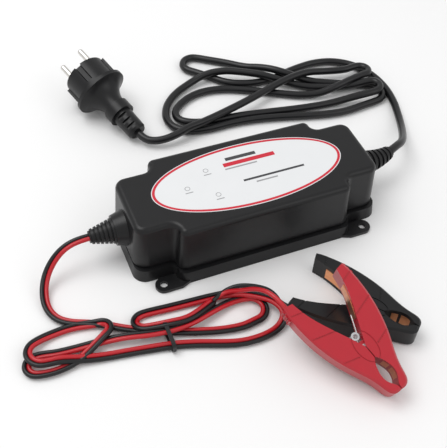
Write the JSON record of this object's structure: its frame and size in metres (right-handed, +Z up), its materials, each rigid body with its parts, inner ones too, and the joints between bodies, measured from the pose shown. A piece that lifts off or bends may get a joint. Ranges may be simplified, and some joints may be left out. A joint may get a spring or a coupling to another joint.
{
  "type": "car battery charger",
  "caption": "Sealed charger case with flanged ears, a looped mains lead ending in a round plug, and a tied twin lead ending in red and black spring clamps.",
  "frame": {"origin": "centre of the case's underside, on the floor", "axes": "+X along the case towards the mains lead, +Y to the back of the case, away from the clamps, +Z up"},
  "size_m": [0.3529, 0.3603, 0.0457],
  "materials": {
    "case_plastic": "satin moulded black",
    "seal_rubber": "matt",
    "label_film": "satin printed film",
    "light_pipe": "clear",
    "zinc_steel": "zinc plated",
    "board_laminate": "satin solder mask",
    "core_steel": "varnished laminations",
    "winding_tape": "yellow tape",
    "heat_sink_metal": "extruded",
    "package_epoxy": "matt moulded",
    "capacitor_sleeve": "shrink sleeve",
    "choke_ferrite": "enamelled wire on ferrite",
    "fuse_glass": "clear",
    "led_lens": "tinted lens",
    "lead_black": "smooth PVC",
    "lead_red": "smooth PVC",
    "relief_black": "matt moulded",
    "tie_black": "nylon",
    "plug_black": "semi-gloss moulded",
    "nickel": "nickel plated",
    "clamp_black": "satin moulded",
    "clamp_red": "satin moulded",
    "copper": "copper plated",
    "spring_steel": "bright wire"
  },
  "bodies": {
    "charger": {"base_tray": "case_plastic", "case_seal": "seal_rubber", "upper_shell": "case_plastic", "label_plate": "label_film", "light_pipes": "light_pipe", "case_screws": "zinc_steel", "board_screws": "zinc_steel", "circuit_board": "board_laminate", "transformer_core": "core_steel", "transformer_winding": "winding_tape", "heat_sink": "heat_sink_metal", "power_transistors": "package_epoxy", "mains_capacitors": "capacitor_sleeve", "output_capacitors": "capacitor_sleeve", "mains_choke": "choke_ferrite", "mains_fuse": "fuse_glass", "indicator_leds": "led_lens", "dc_strain_relief": "relief_black", "mains_strain_relief": "relief_black", "plug_body": "plug_black", "plug_pins": "nickel", "mains_lead": "lead_black", "mains_lead_bundle": "lead_black", "mains_lead_end": "lead_black", "twin_lead": "lead_black", "twin_lead_bundle": "lead_black", "cable_tie": "tie_black", "red_lead": "lead_red", "black_lead": "lead_black", "black_cable_arm": "clamp_black", "black_cable_jaw": "copper", "black_clamp_pivot": "zinc_steel", "black_clamp_spring": "spring_steel", "black_lead_crimp": "copper", "red_cable_arm": "clamp_red", "red_cable_jaw": "copper", "red_clamp_pivot": "zinc_steel", "red_clamp_spring": "spring_steel", "red_lead_crimp": "copper"},
    "black_clamp_handle": {"black_handle_arm": "clamp_black", "black_handle_jaw": "copper"},
    "red_clamp_handle": {"red_handle_arm": "clamp_red", "red_handle_jaw": "copper"}
  },
  "joints": [
    {"name": "black_clamp_hinge", "type": "hinge", "parent": "charger", "child": "black_clamp_handle", "pos_m": [0.0413, -0.1119, 0.0076], "axis": [0, 0, 1], "range_deg": [0, 36], "stiffness_Nm_per_rad": 0.8, "springref_deg": -28.65, "deforming": ["black_clamp_spring"]},
    {"name": "red_clamp_hinge", "type": "hinge", "parent": "charger", "child": "red_clamp_handle", "pos_m": [0.019, -0.1399, 0.0175], "axis": [-0.122, -0.327, 0.9371], "range_deg": [0, 36], "stiffness_Nm_per_rad": 0.8, "springref_deg": -28.65, "deforming": ["red_clamp_spring"]}
  ]
}
